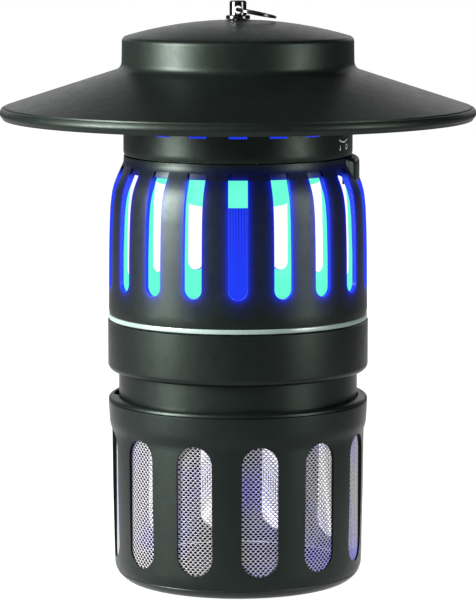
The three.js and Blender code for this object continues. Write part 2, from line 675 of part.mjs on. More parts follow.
// The cage's dished floor, and its four rubber feet in their pockets.
function addFloor() {
  const { underside, thick, flat } = CAGE_FLOOR;
  const lift = (z) => z + underside * (1 - z / CAGE_PARTING);
  const corner = [0.2, 0.6, 1.6, 3.4, CAGE_PARTING].map((z) => [cornerRadius(z), lift(z)]);
  const outside = [[0, underside], [flat, underside], ...corner];
  const inside = [[CAGE_INSIDE, CAGE_PARTING], [CAGE_INSIDE - 3, thick + 1], [0, thick + 1]];
  const dish = spindle([...outside, ...inside], SMOOTH);
  const feet = [45, 135, 225, 315];
  const pockets = feet.map((a) => outward(rod(FOOT.r + GAP, -1, FOOT.z1 + GAP, 20), FOOT.circle, a));
  addSolid("cage_floor", cut(dish, ...pockets), MOULDED);
  feet.forEach((a, i) => {
    const foot = spindle([[0, 0], [FOOT.r - 0.5, 0], [FOOT.r, 0.5], [FOOT.r, FOOT.z1], [0, FOOT.z1]]);
    addSolid("foot_" + (i + 1), outward(foot, FOOT.circle, a), RUBBER);
  });
}

addTopEnd();
addDeck();
addLamps();
addSwitch();
addLampShell();
addFanHousing();
addDuct();
addGuard();
addFan();
addFlaps();
addGland();
addCage();

export default trap;
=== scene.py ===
import json
import math

import bmesh
import bpy
from mathutils import Matrix, Vector


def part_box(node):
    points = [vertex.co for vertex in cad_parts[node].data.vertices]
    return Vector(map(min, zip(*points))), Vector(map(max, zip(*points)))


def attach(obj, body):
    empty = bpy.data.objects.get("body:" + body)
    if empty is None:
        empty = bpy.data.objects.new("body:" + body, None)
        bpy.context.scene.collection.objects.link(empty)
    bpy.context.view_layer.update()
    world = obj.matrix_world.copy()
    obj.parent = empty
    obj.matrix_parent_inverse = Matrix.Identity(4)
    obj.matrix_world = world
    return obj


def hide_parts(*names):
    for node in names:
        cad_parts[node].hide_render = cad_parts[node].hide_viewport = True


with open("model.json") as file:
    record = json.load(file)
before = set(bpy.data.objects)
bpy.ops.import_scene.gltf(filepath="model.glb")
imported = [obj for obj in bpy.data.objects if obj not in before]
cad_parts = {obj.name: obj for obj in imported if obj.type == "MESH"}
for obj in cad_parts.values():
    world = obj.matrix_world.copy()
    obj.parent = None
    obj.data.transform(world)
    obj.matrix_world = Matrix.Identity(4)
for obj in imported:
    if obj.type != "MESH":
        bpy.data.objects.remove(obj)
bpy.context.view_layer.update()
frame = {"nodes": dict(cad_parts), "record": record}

# An insect trap. Sizes are metres; an outline is a list of (radius, height) in millimetres.
# Azimuth is counted in degrees from the front (-Y) towards +X.
MM = 0.001
WINDOWS = 18  # windows round the lamp chamber, with a vent in the collar over each
WINDOW_HALF = 5.15
WINDOW_LOW, WINDOW_HIGH = 164.8, 231.4
WINDOW_HEAD = 228.0  # the wall set back behind the windows' tops starts at this height
GLOW_TOP = 231.0  # the blue glow round the windows stops at this height
GLOW_WIDTH = 12.0
VENT_HALF = 4.95
VENT_LOW, VENT_HIGH = 250.1, 270.0
SHELL_FOOT = 149.3
SHELL_TOP = 236.3
COLLAR_R = 63.0
RING_HOLE_Z = 316  # the cross hole in the post that the split ring hangs in
CAGE_SLOTS = 12
SLOT_HALF = 10.0
SLOT_LOW, SLOT_HIGH = 14.0, 84.8
BAYONET = (-97, 23, 143)  # azimuths of the three lugs and of the entries over them
ROUND = 192  # facets of the middling turned pieces
FINE = 256  # facets of the largest ones
SMOOTH_ANGLE = math.radians(38)


# ---- the frame's places, in millimetres ---------------------------------------------------
def low(node, axis=2):
    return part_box(node)[0][axis] / MM


def high(node, axis=2):
    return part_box(node)[1][axis] / MM


def radius(node):
    return max(high(node, 0), high(node, 1))


# ---- material building --------------------------------------------------------------------
class Shader:
    """A small helper that builds one material's node tree."""

    def __init__(self, name):
        self.material = bpy.data.materials.new(name)
        self.material.use_nodes = True
        self.tree = self.material.node_tree
        self.bsdf = self.tree.nodes["Principled BSDF"]
        self.place = self.node("ShaderNodeTexCoord").outputs["Object"]

    def node(self, kind, **settings):
        made = self.tree.nodes.new(kind)
        for key, value in settings.items():
            setattr(made, key, value)
        return made

    def link(self, source, target):
        self.tree.links.new(source, target)

    def put(self, target, value):
        if hasattr(value, "links"):
            self.link(value, target)
        else:
            target.default_value = value

    def set(self, **values):
        for key, value in values.items():
            self.put(self.bsdf.inputs[key.replace("_", " ")], value)
        return self

    def noise(self, scale, detail=3.0, roughness=0.55, stretch=None):
        made = self.node("ShaderNodeTexNoise")
        made.inputs["Scale"].default_value = scale
        made.inputs["Detail"].default_value = detail
        made.inputs["Roughness"].default_value = roughness
        if stretch:
            mapping = self.node("ShaderNodeMapping")
            mapping.inputs["Scale"].default_value = stretch
            self.link(self.place, mapping.inputs["Vector"])
            self.link(mapping.outputs["Vector"], made.inputs["Vector"])
        else:
            self.link(self.place, made.inputs["Vector"])
        return made.outputs["Fac"]

    def span(self, value, from_low, from_high, to_low, to_high):
        made = self.node("ShaderNodeMapRange")
        made.inputs["Value"].default_value = 0
        self.put(made.inputs["Value"], value)
        for name, number in (("From Min", from_low), ("From Max", from_high),
                             ("To Min", to_low), ("To Max", to_high)):
            made.inputs[name].default_value = number
        return made.outputs["Result"]

    def math(self, operation, a, b=0.0):
        made = self.node("ShaderNodeMath", operation=operation)
        self.put(made.inputs[0], a)
        self.put(made.inputs[1], b)
        return made.outputs[0]

    def mix(self, factor, a, b):
        made = self.node("ShaderNodeMix", data_type="RGBA")
        self.put(made.inputs["Factor"], factor)
        self.put(made.inputs["A"], a if hasattr(a, "links") else (*a, 1))
        self.put(made.inputs["B"], b if hasattr(b, "links") else (*b, 1))
        return made.outputs["Result"]

    def along(self, axis):
        """The place along one of the frame's axes, in metres."""
        split = self.node("ShaderNodeSeparateXYZ")
        self.link(self.place, split.inputs[0])
        return split.outputs[axis]

    def height(self):
        return self.along("Z")

    def bump(self, height, distance, strength=1.0):
        made = self.node("ShaderNodeBump")
        made.inputs["Strength"].default_value = strength
        made.inputs["Distance"].default_value = distance
        self.link(height, made.inputs["Height"])
        self.link(made.outputs["Normal"], self.bsdf.inputs["Normal"])
        return self

    def attribute(self, name):
        return self.node("ShaderNodeAttribute", attribute_name=name).outputs["Fac"]


GRAIN = 2600  # noise cells a metre in the moulded grain
SHEEN = (0.80, 1.0, 0.86)  # the green cast of the plastic's highlights


def moulded(name, color, roughness, grain=0.00003):
    """Satin moulded plastic: a fine grain, slow mottling, and faint rubbed spots."""
    s = Shader(name)
    fine = s.noise(GRAIN, 2.0)
    slow = s.noise(38, 3.0)
    rubbed = s.noise(160, 5.0, 0.7)
    darker = tuple(c * 0.82 for c in color)
    lighter = tuple(c * 1.22 for c in color)
    base = s.mix(s.span(slow, 0.3, 0.7, 0, 1), darker, lighter)
    speck = s.mix(s.span(fine, 0.58, 0.8, 0, 0.5), base, tuple(c * 2.0 for c in color))
    rough = s.math("ADD", s.span(rubbed, 0.3, 0.75, roughness - 0.04, roughness + 0.05),
                   s.span(fine, 0.3, 0.7, -0.08, 0.09))
    s.set(Base_Color=speck, Roughness=rough, IOR=1.5, Specular_IOR_Level=0.18, Specular_Tint=(*SHEEN, 1))
    return s.bump(fine, grain)


BODY_COLOR = (0.0012, 0.0020, 0.0019)
HAT_COLOR = (0.0018, 0.0027, 0.0023)
BODY_ROUGHNESS = 0.36
HAT_ROUGHNESS = 0.40
HALO = (0.0, 0.012, 0.85)  # the glow on the plastic round the windows
EDGE_LAMPLIGHT = (0.02, 0.055, 1.0)  # painted blue lamp light on the windows' cut faces
INSIDE_LAMPLIGHT = (0.140, 0.97, 0.68)  # painted turquoise lamp light on the faces inside the chamber


def body_plastic():
    return moulded("body_plastic", BODY_COLOR, BODY_ROUGHNESS).material


def roof_plastic():
    return moulded("roof_plastic", HAT_COLOR, HAT_ROUGHNESS).material


def lit_shell():
    """The chamber wall's outside: body plastic with the blue glow that creeps round each window."""
    s = moulded("lit_shell", BODY_COLOR, BODY_ROUGHNESS)
    near = s.math("MULTIPLY", s.math("POWER", s.attribute("glow"), 9.0), 0.85)
    wide = s.math("MULTIPLY", s.attribute("glow"), 0.055)
    s.set(Emission_Color=(*HALO, 1), Emission_Strength=s.math("ADD", near, wide))
    return s.material


def window_edge():
    """The cut faces of windows and vents: painted blue lamp light, with painted shade at the windows' tops.
    """
    s = moulded("window_edge", BODY_COLOR, 0.3)
    # Painted lamp light: full on the window faces, fading to painted shade at their tops, and full on the
    # vents.
    window = s.span(s.height(), 225.5 * MM, 229.2 * MM, 0.95, 0.0)
    vent = s.span(s.height(), 240 * MM, 241 * MM, 0.0, 1.0)
    s.set(Emission_Color=(*EDGE_LAMPLIGHT, 1), Emission_Strength=s.math("ADD", window, vent))
    return s.material


def lit_inside():
    """A face inside the chamber: painted turquoise lamp light with slow soft unevenness, and painted shade
    under the collar.
    """
    s = moulded("lit_inside", (0.01, 0.04, 0.02), 0.6)
    cloud = s.span(s.noise(30, 2.0), 0.3, 0.7, 0.95, 1.03)
    shaded = s.span(s.height(), 234 * MM, 235.8 * MM, 1.0, 0.0)
    s.set(Emission_Color=(*INSIDE_LAMPLIGHT, 1), Emission_Strength=s.math("MULTIPLY", cloud, shaded))
    return s.material


def lit_funnel():
    """The funnel under the lamps: painted turquoise lamp light at its mouth, fading to painted shade down in
    the throat.
    """
    s = moulded("lit_funnel", BODY_COLOR, 0.45)
    reach = s.span(s.height(), 143 * MM, 152 * MM, 0.0, 1.0)
    s.set(Emission_Color=(*INSIDE_LAMPLIGHT, 1), Emission_Strength=reach)
    return s.material


def lamp_glass():
    """A lit tube: saturated blue with fine darker lines along it that fade downwards."""
    s = Shader("lamp_glass")
    line_pitch = 1.55 * MM
    wave = s.math("SINE", s.math("MULTIPLY", s.along("X"), 2 * math.pi / line_pitch))
    lines = s.span(wave, 0.2, 1.0, 0.0, 1.0)
    upper = s.span(s.height(), 172 * MM, 210 * MM, 0.12, 0.9)
    dim = s.math("MULTIPLY", lines, upper)
    cloud = s.span(s.noise(60, 2.0), 0.3, 0.7, 0.0, 0.1)
    color = s.mix(s.math("ADD", dim, cloud), (0.018, 0.050, 0.98), (0.004, 0.010, 0.30))
    s.set(Base_Color=(0.0, 0.0, 0.02, 1), Roughness=0.45, Specular_IOR_Level=0.02,
          Emission_Color=color, Emission_Strength=1.0)
    return s.material


def plated_metal():
    """Dark chrome plate with fine turning lines and a trace of handling marks."""
    s = Shader("plated_metal")
    lines = s.noise(220, 3.0, 0.6, stretch=(1, 1, 26))
    marks = s.noise(420, 4.0, 0.7)
    tone = s.mix(s.span(marks, 0.35, 0.75, 0, 1), (0.04, 0.042, 0.042), (0.085, 0.088, 0.088))
    s.set(Base_Color=tone, Metallic=1.0, Roughness=s.span(marks, 0.3, 0.8, 0.13, 0.26))
    return s.bump(lines, 0.00001, 0.5).material


def steel():
    """Turned bright steel of the screws, shaft and brackets."""
    s = Shader("steel")
    color = (0.42, 0.43, 0.45)
    lines = s.noise(500, 3.0, 0.6, stretch=(1, 1, 8))
    marks = s.noise(240, 4.0, 0.7)
    darker = tuple(c * 0.8 for c in color)
    lighter = tuple(c * 1.15 for c in color)
    tone = s.mix(s.span(marks, 0.35, 0.7, 0, 1), darker, lighter)
    s.set(Base_Color=tone, Metallic=1.0, Roughness=s.span(marks, 0.3, 0.8, 0.26, 0.42))
    return s.bump(lines, 0.00002, 0.5).material


def core_steel():
    """Stacked laminations under varnish."""
    s = Shader("core_steel")
    leaf = 0.9 * MM
    leaves = s.math("SINE", s.math("MULTIPLY", s.height(), 2 * math.pi / leaf))
    marks = s.noise(300, 4.0, 0.7)
    tone = s.mix(s.span(marks, 0.3, 0.75, 0, 1), (0.10, 0.09, 0.08), (0.24, 0.22, 0.2))
    s.set(Base_Color=tone, Metallic=0.8, Roughness=0.45)
    return s.bump(leaves, 0.00005).material


def white_plastic():
    return moulded("white_plastic", (0.62, 0.63, 0.62), 0.42).material


def pale_trim():
    """The pale ring: silver-green with a fine brushed grain round it."""
    s = Shader("pale_trim")
    brushed = s.noise(700, 3.0, 0.6, stretch=(1, 1, 6))
    slow = s.noise(45, 2.0)
    tone = s.mix(s.span(slow, 0.3, 0.7, 0, 1), (0.13, 0.18, 0.16), (0.18, 0.23, 0.21))
    s.set(Base_Color=tone, Metallic=0.25, Roughness=s.span(brushed, 0.3, 0.7, 0.26, 0.36))
    return s.bump(brushed, 0.00001, 0.4).material


def fan_plastic():
    return moulded("fan_plastic", (0.024, 0.027, 0.028), 0.3, 0.00001).material


def rubber():
    """Soft black rubber: duller, with a coarse matt skin."""
    s = Shader("rubber")
    skin = s.noise(1500, 4.0, 0.7)
    mottle = s.noise(90, 4.0, 0.6)
    tone = s.mix(s.span(mottle, 0.5, 0.8, 0, 1), (0.012, 0.0125, 0.013), (0.032, 0.033, 0.033))
    s.set(Base_Color=tone, Roughness=s.span(skin, 0.3, 0.7, 0.62, 0.78))
    return s.bump(skin, 0.00006).material


def mesh_metal():
    """Expanded metal brightened by a painted grey glow, with painted blue lamp light in patches."""
    s = Shader("mesh_metal")
    fine = s.noise(1800, 2.0)
    cloud = s.noise(24, 2.0)
    tone = s.mix(s.span(fine, 0.3, 0.7, 0, 1), (0.075, 0.072, 0.078), (0.11, 0.105, 0.112))
    s.set(Base_Color=tone, Metallic=0.2, Roughness=0.45)
    # Painted light: a grey glow over all the sheet, turning to blue lamp light in patches.
    painted_lamplight = s.mix(s.span(cloud, 0.47, 0.68, 0, 0.9), (0.33, 0.325, 0.33), (0.20, 0.18, 0.70))
    s.set(Emission_Color=painted_lamplight, Emission_Strength=0.8)
    return s.bump(fine, 0.00002, 0.5).material


def mesh_back_shade():
    """The inward face of the screen: a darker copy of the metal painted as its shade, with a mottled tone."""
    s = Shader("mesh_back_shade")
    mottle = s.noise(60, 4.0)
    tone = s.mix(s.span(mottle, 0.35, 0.7, 0, 1), (0.02, 0.02, 0.022), (0.05, 0.05, 0.052))
    s.set(Base_Color=tone, Metallic=0.2, Roughness=0.7)
    return s.material


def print_ink():
    """Pale grey-green printed marks."""
    s = Shader("print_ink")
    worn = s.noise(900, 3.0)
    tone = s.mix(s.span(worn, 0.35, 0.7, 0, 1), (0.36, 0.44, 0.40), (0.50, 0.58, 0.53))
    s.set(Base_Color=tone, Roughness=0.55)
    return s.material


def floor_painted_light():
    """A glowing white floor with painted light and shade: dimmer in front of the object and out to both sides
    behind it.
    """
    s = Shader("floor_painted_light")
    across, back = s.along("X"), s.along("Y")
    ahead = s.span(back, -0.5, -0.1, 0.24, 0.99)
    widening = s.math("MULTIPLY", s.math("MAXIMUM", back, 0.0), 0.08)
    beside = s.math("SUBTRACT", s.math("ABSOLUTE", across), widening)
    sides = s.span(beside, 0.16, 0.5, 1.0, 0.18)
    near = s.span(back, -0.3, 0.1, 1.0, 0.0)
    # Painted light: the floor's glow, with painted shade in front and at the sides.
    glow = s.math("MULTIPLY", ahead, s.math("MAXIMUM", sides, near))
    s.set(Base_Color=(0.12, 0.12, 0.12, 1), Roughness=0.9)
    s.set(Emission_Color=(1, 1, 1, 1), Emission_Strength=glow)
    return s.material


LOOKS = {
    "body_plastic": body_plastic(),
    "roof_plastic": roof_plastic(),
    "plated_metal": plated_metal(),
    "steel": steel(),
    "core_steel": core_steel(),
    "white_plastic": white_plastic(),
    "lamp_glass": lamp_glass(),
    "pale_trim": pale_trim(),
    "fan_plastic": fan_plastic(),
    "rubber": rubber(),
    "mesh_metal": mesh_metal(),
}
LIT_SHELL = lit_shell()
WINDOW_EDGE = window_edge()
LIT_INSIDE = lit_inside()
PRINT_INK = print_ink()
MESH_BACK_SHADE = mesh_back_shade()


# ---- mesh building ------------------------------------------------------------------------
def place(r, azimuth, z):
    """A point in metres from a radius and height in millimetres and an azimuth in radians."""
    return (r * MM * math.sin(azimuth), -r * MM * math.cos(azimuth), z * MM)


def arc(r, z, size, start, end, steps):
    """Points of an arc in the r-z plane, degrees from the +r direction."""
    angles = (math.radians(start + (end - start) * i / steps) for i in range(steps + 1))
    return [(r + size * math.cos(a), z + size * math.sin(a)) for a in angles]


def finish_mesh(name, mesh, body, replaced, look, materials=None):
    """Makes an object of a bmesh, shades it smooth apart from its corners, and rides it on a body.

    look is its material slot. materials are used in place of that slot's own where faces differ.
    """
    data = bpy.data.meshes.new(name)
    bmesh.ops.recalc_face_normals(mesh, faces=mesh.faces)
    for edge in mesh.edges:
        sharp = len(edge.link_faces) == 2 and edge.calc_face_angle() > SMOOTH_ANGLE
        edge.smooth = not sharp
    for face in mesh.faces:
        face.smooth = True
    mesh.to_mesh(data)
    mesh.free()
    piece = bpy.data.objects.new(name, data)
    bpy.context.scene.collection.objects.link(piece)
    for material in materials or [LOOKS[look]]:
        data.materials.append(material)
    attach(piece, body)
    if replaced:
        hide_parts(*replaced)
    return piece


def lathe(mesh, outline, facets=ROUND, closed=True, axis=Matrix.Identity(4), looks=()):
    """Adds a turned solid. A closed outline makes a ring; an open one starts and ends on the axis.

    looks gives each stretch of the outline its material index.
    """
    rings = []
    for r, z in outline:
        if r < 1e-6:
            rings.append([mesh.verts.new(axis @ Vector((0, 0, z * MM)))])
        else:
            turns = (2 * math.pi * i / facets for i in range(facets))
            rings.append([mesh.verts.new(axis @ Vector(place(r, a, z))) for a in turns])
    pairs = list(zip(rings, rings[1:] + rings[:1] if closed else rings[1:]))
    for index, (a, b) in enumerate(pairs):
        for i in range(facets):
            j = (i + 1) % facets
            corners = [a[i % len(a)], a[j % len(a)], b[j % len(b)], b[i % len(b)]]
            distinct = list(dict.fromkeys(corners))
            if len(distinct) > 2:
                mesh.faces.new(distinct).material_index = looks[index] if looks else 0


def turned_piece(name, outline, body, replaced, look, facets=ROUND, closed=True):
    mesh = bmesh.new()
    lathe(mesh, outline, facets, closed)
    return finish_mesh(name, mesh, body, replaced, look)


def radius_at(outline, z):
    """The radius of an outline at a height, between its points, listed upwards."""
    for (r0, z0), (r1, z1) in zip(outline, outline[1:]):
        if z <= z1:
            return r0 + (r1 - r0) * max(0.0, (z - z0)) / max(z1 - z0, 1e-6)
    return outline[-1][0]


def steps_between(start, end, count):
    return [start + (end - start) * i / count for i in range(count + 1)]


def slotted_wall(outer, inner, count, half, z0, z1, phase, round_top, levels, square=False):
    """A turned wall with equally spaced upright slots whose ends are flat or half round.

    outer and inner are outlines listed upwards over the same heights. The wall is one even grid of
    four-sided faces a slot pitch: columns across the slot, columns across the rib, and rows below,
    beside and above the slot. Faces get material 0 outside, 1 on the cut faces and 2 inside.
    """
    mesh = bmesh.new()
    glow = mesh.verts.layers.float.new("glow")
    pitch = 2 * math.pi / count
    end = 0.0 if square else half  # height of the half round end
    across = [math.sin(math.pi / 2 * t) for t in steps_between(-1, 1, 16)]
    ribs = [0.07, 0.16, 0.28, 0.42, 0.58, 0.72, 0.84, 0.93, 1.0]
    bottom, top = outer[0][1], outer[-1][1]
    below, beside, above = levels

    def azimuth(r, u, rib):
        edge = math.asin(half / r)
        return math.asin(u * half / r) if rib is None else edge + (pitch - 2 * edge) * rib

    def rounding(u):
        return 0.0 if square else half - half * math.sqrt(max(0.0, 1 - u * u))

    def column(cell, u, rib):
        """One column's heights: below the slot, beside it on a rib, and above it."""
        dip = rounding(u) if rib is None else end
        low_end = z0 + dip
        high_end = z1 - dip if round_top else z1
        rib_end = z1 - end if round_top else z1
        parts = [steps_between(bottom, low_end, below)]
        if rib is not None:
            parts.append(steps_between(z0 + end, rib_end, beside))
        parts.append(steps_between(high_end, top, above))
        made = []
        for outline in (outer, inner):
            side = []
            for heights in parts:
                row = []
                for z in heights:
                    r = radius_at(outline, z)
                    a = pitch * cell + phase + azimuth(r, u, rib)
                    vert = mesh.verts.new(place(r, a, z))
                    if outline is outer:
                        vert[glow] = glow_at(r, u, rib, z)
                    row.append(vert)
                side.append(row)
            made.append(side)
        return made

    def glow_at(r, u, rib, z):
        """1 at the slot's edge, falling to 0 some millimetres away, and dark above the glow's top."""
        width = (pitch - 2 * math.asin(half / r)) * r
        aside = 0.0 if rib is None else min(rib, 1 - rib) * width
        from_middle = abs(u) * half if rib is None else half + aside
        if z < z0 + half:
            away = math.hypot(from_middle, z0 + half - z) - half
        else:
            away = math.hypot(aside, max(0.0, z - z1))
        fade = min(1.0, max(0.0, (GLOW_TOP - z) / 3))
        return max(0.0, 1 - away / GLOW_WIDTH) * fade

    def skin(a, b, flip, material):
        for i in range(len(a) - 1):
            corners = [a[i], b[i], b[i + 1], a[i + 1]]
            face = mesh.faces.new(corners[::-1] if flip else corners)
            face.material_index = material

    columns = []
    for cell in range(count):
        columns += [(column(cell, u, None), None) for u in across]
        columns += [(column(cell, 1.0, rib), rib) for rib in ribs[:-1]]
    # A slot's two edges also have rows beside the slot, which its end columns don't have.
    total = len(columns)
    per_cell = len(across) + len(ribs) - 1
    edges = {}
    for cell in range(count):
        for side, rib in (("left", 1.0), ("right", 0.0)):
            edge = []
            cell_of = cell - 1 if side == "left" else cell
            for outline in (outer, inner):
                rib_end = z1 - end if round_top else z1
                row = []
                for z in steps_between(z0 + end, rib_end, beside):
                    r = radius_at(outline, z)
                    a = pitch * cell_of + phase + azimuth(r, 1.0, rib)
                    vert = mesh.verts.new(place(r, a, z))
                    if outline is outer:
                        vert[glow] = glow_at(r, 1.0, 0.0, z)
                    row.append(vert)
                edge.append(row)
            edges[cell, side] = edge
    for index in range(total):
        cell, k = divmod(index, per_cell)
        (outer_a, inner_a), rib_a = columns[index]
        (outer_b, inner_b), rib_b = columns[(index + 1) % total]
        skin(outer_a[0], outer_b[0], False, 0)
        skin(inner_a[0], inner_b[0], True, 2)
        skin(outer_a[-1], outer_b[-1], False, 0)
        skin(inner_a[-1], inner_b[-1], True, 2)
        mesh.faces.new([outer_a[0][0], inner_a[0][0], inner_b[0][0], outer_b[0][0]])
        mesh.faces.new([outer_a[-1][-1], outer_b[-1][-1], inner_b[-1][-1], inner_a[-1][-1]])
        if rib_a is None and rib_b is None:
            low_cut = [outer_a[0][-1], outer_b[0][-1], inner_b[0][-1], inner_a[0][-1]]
            high_cut = [outer_a[-1][0], inner_a[-1][0], inner_b[-1][0], outer_b[-1][0]]
            mesh.faces.new(low_cut).material_index = 1
            mesh.faces.new(high_cut).material_index = 1
            continue
        if rib_a is None:
            right = edges[cell, "right"]
            rows_a = (right[0], right[1])
            skin(right[0], right[1], True, 1)
        else:
            rows_a = (outer_a[1], inner_a[1])
        if rib_b is None:
            left = edges[(cell + 1) % count, "left"]
            rows_b = (left[0], left[1])
            skin(left[0], left[1], False, 1)
        else:
            rows_b = (outer_b[1], inner_b[1])
        skin(rows_a[0], rows_b[0], False, 0)
        skin(rows_a[1], rows_b[1], True, 2)
    bmesh.ops.remove_doubles(mesh, verts=mesh.verts, dist=1e-6)
    return mesh


def soften(piece, width, segments=2, angle=40):
    """Rounds a piece's corners a little, as a mould does."""
    bevel = piece.modifiers.new("edge_radius", "BEVEL")
    bevel.width = width * MM
    bevel.segments = segments
    bevel.limit_method = "ANGLE"
    bevel.angle_limit = math.radians(angle)
    bevel.harden_normals = True
    return piece


# ---- the roof, post and ring --------------------------------------------------------------
def roof():
    brim = radius("roof_hat")
    bottom = low("roof_hat")
    top = high("roof_hat")
    drum = 63.8
    slope = 0.325  # the brim's fall for each millimetre outwards
    dome = 220  # radius of the crown's curve
    lean = math.degrees(math.atan(slope))
    wall = 2.3
    lip_r, lip_z = brim - 2.0, bottom + 6.8

    def brim_at(r):
        return lip_z + slope * (lip_r - r)

    def dome_at(r, inset=0.0):
        return top - dome + math.sqrt((dome - inset) ** 2 - r * r)

    fillet = 5
    fillet_r = drum + fillet
    fillet_z = brim_at(fillet_r) + fillet / math.cos(math.radians(lean))
    corner = 3
    corner_r = drum - 0.2 - corner
    corner_z = dome_at(corner_r, corner)
    under = wall / math.cos(math.radians(lean))
    inside = drum - wall
    outline = [(3.4, dome_at(3.4, wall))]
    outline += [(r, dome_at(r, wall)) for r in (12, 24, 36, 48)]
    outline += arc(inside - 2, dome_at(inside, wall) - 1.6, 2, 90, 0, 4)
    outline += arc(inside + 3, brim_at(inside + 3) - under + 3, 3, 180, 270 - lean, 4)
    outline += [(r, brim_at(r) - under) for r in (80, 100, 118)]
    # The lip: a rolled edge under the brim, and a fine groove where it meets the brim's top.
    outline += [(brim - 4.6, brim_at(brim - 4.6) - under), (brim - 4.1, bottom + 1.1)]
    outline += [(brim - 3.6, bottom + 0.2), (brim - 2.9, bottom), (brim - 1.9, bottom + 0.15)]
    outline += arc(brim - 2.6, bottom + 3.6, 2.6, -52, 30, 8)
    outline += [(brim - 0.75, bottom + 5.7), (brim - 1.1, bottom + 6.2), (brim - 1.7, bottom + 6.35)]
    outline += [(lip_r, lip_z - 0.75), (lip_r - 0.4, lip_z - 0.7), (lip_r - 0.75, brim_at(lip_r - 0.75))]
    outline += [(r, brim_at(r)) for r in (126, 118, 105, 92, 80, 72)]
    outline += arc(fillet_r, fillet_z, fillet, 270 - lean, 180, 8)
    outline += arc(corner_r, corner_z, corner, 0, 74, 8)
    outline += [(r, dome_at(r)) for r in (57, 50, 42, 34, 26, 18, 10, 3.4)]
    return turned_piece("roof", outline, "housing", ["roof_hat"], "roof_plastic", FINE)


def hanging_post():
    top = high("hanger_post")
    bottom = low("hanger_post")
    post, flange, stud = 4.65, radius("hanger_post"), 3.0
    seat = 310.8
    outline = [(0, bottom), (stud - 0.3, bottom), (stud, bottom + 0.4), (stud, seat), (flange - 0.2, seat)]
    outline += arc(flange - 0.5, seat + 0.5, 0.5, -50, 0, 3)
    outline += arc(flange - 0.6, seat + 1.6, 0.6, 0, 90, 4)
    outline += [(post + 0.35, seat + 2.2)]
    outline += arc(post + 0.4, seat + 2.6, 0.4, 250, 180, 3)
    outline += arc(post - 1.1, top - 1.1, 1.1, 0, 90, 6)
    outline += [(0, top)]
    mesh = bmesh.new()
    lathe(mesh, outline, 64, closed=False)
    piece = finish_mesh("post", mesh, "housing", ["hanger_post"], "plated_metal")
    drill = bmesh.new()
    sideways = Matrix.Translation((0, 0, RING_HOLE_Z * MM)) @ Matrix.Rotation(math.pi / 2, 4, "X")
    hole, reach = 2.2, 12
    lathe(drill, [(0, -reach), (hole, -reach), (hole, reach), (0, reach)], 40, closed=False, axis=sideways)
    return soften(drilled(piece, drill), 0.25)


def drilled(piece, tool):
    """Cuts a tool mesh from a piece."""
    data = bpy.data.meshes.new("tool")
    bmesh.ops.recalc_face_normals(tool, faces=tool.faces)
    tool.to_mesh(data)
    tool.free()
    cutter = bpy.data.objects.new("tool", data)
    bpy.context.scene.collection.objects.link(cutter)
    cut = piece.modifiers.new("cut", "BOOLEAN")
    cut.operation = "DIFFERENCE"
    cut.solver = "EXACT"
    cut.object = cutter
    bpy.context.view_layer.update()
    result = bpy.data.meshes.new_from_object(piece.evaluated_get(bpy.context.evaluated_depsgraph_get()))
    piece.modifiers.clear()
    piece.data = result
    bpy.data.objects.remove(cutter)
    return piece


def split_ring():
    """A key ring: two close turns of round wire, one end lying on the other."""
    mesh = bmesh.new()
    mean, wire, pitch = 10.8, 0.62, 1.36
    tilt = math.radians(11.4)
    steps, sides = 220, 16
    hole = Matrix.Translation((0, 0, RING_HOLE_Z * MM))
    aside = Matrix.Translation(((mean - 0.6) * MM, 0, 0))
    centre = hole @ Matrix.Rotation(tilt, 4, "Y") @ aside
    rings = []
    for i in range(steps + 1):
        t = i / steps
        a = 4 * math.pi * t
        rise = pitch * (t - 0.5)
        point = Vector((mean * math.cos(a), mean * math.sin(a), rise)) * MM
        out = Vector((math.cos(a), math.sin(a), 0))
        shrink = min(1.0, 0.25 + 12 * t, 0.25 + 12 * (1 - t))  # the wire's ends are tapered
        ring = []
        for k in range(sides):
            b = 2 * math.pi * k / sides
            offset = out * math.cos(b) + Vector((0, 0, 1)) * math.sin(b)
            ring.append(mesh.verts.new(centre @ (point + offset * wire * MM * shrink)))
        rings.append(ring)
    for a, b in zip(rings, rings[1:]):
        for k in range(sides):
            j = (k + 1) % sides
            mesh.faces.new([a[k], a[j], b[j], b[k]])
    mesh.faces.new(rings[0][::-1])
    mesh.faces.new(rings[-1])
    return finish_mesh("key_ring", mesh, "hang_ring", ["split_ring"], "plated_metal")


# ---- the switch collar and the lamp chamber -----------------------------------------------
def switch_collar():
    z0, z1 = low("switch_ring"), high("switch_ring")
    r, wall = COLLAR_R, 2.3
    outer = [(r - 0.45, z0), (r - 0.05, z0 + 0.5), (r, z0 + 1.2), (r, 255), (r, z1)]
    inner = [(r - wall, z0), (r - wall, z1)]
    mesh = slotted_wall(outer, inner, WINDOWS, VENT_HALF, VENT_LOW, VENT_HIGH, 0, False,
                        (8, 6, 3), square=True)
    # The vents' cut faces and the collar's inside take painted blue lamp light.
    materials = [LOOKS["body_plastic"], WINDOW_EDGE, WINDOW_EDGE]
    return finish_mesh("switch_collar", mesh, "switch", ["switch_ring"], "body_plastic", materials)


def collar_lamp_glow():
    """A glowing ring behind the collar's vents: painted blue lamp light that shows through them."""
    outline = [(57.0, 242), (58.2, 242), (58.2, 276), (57.0, 276)]
    return turned_piece("vent_painted_ring", outline, "housing", [], "lamp_glass", 96)


# The chamber wall: nearly upright, then a rounded shoulder that leans in to the collar.
SHELL_OUTER = [(71.1, SHELL_FOOT), (71.45, 149.7), (71.35, 160), (71.1, 185), (70.85, 196), (70.4, 207),
               (69.95, 212), (69.2, 217), (68.2, 220.8), (66.9, 224.2), (65.9, 226.5), (64.9, 228.6),
               (64.0, 230.6), (63.3, 232.2), (62.9, 233.4), (62.85, SHELL_TOP)]
SHELL_INNER = [(68.9, SHELL_FOOT), (68.8, 185), (68.0, 205), (67.0, 214), (65.6, 219), (63.5, 223.6),
               (61.9, 227), (60.9, 230), (60.5, SHELL_TOP)]


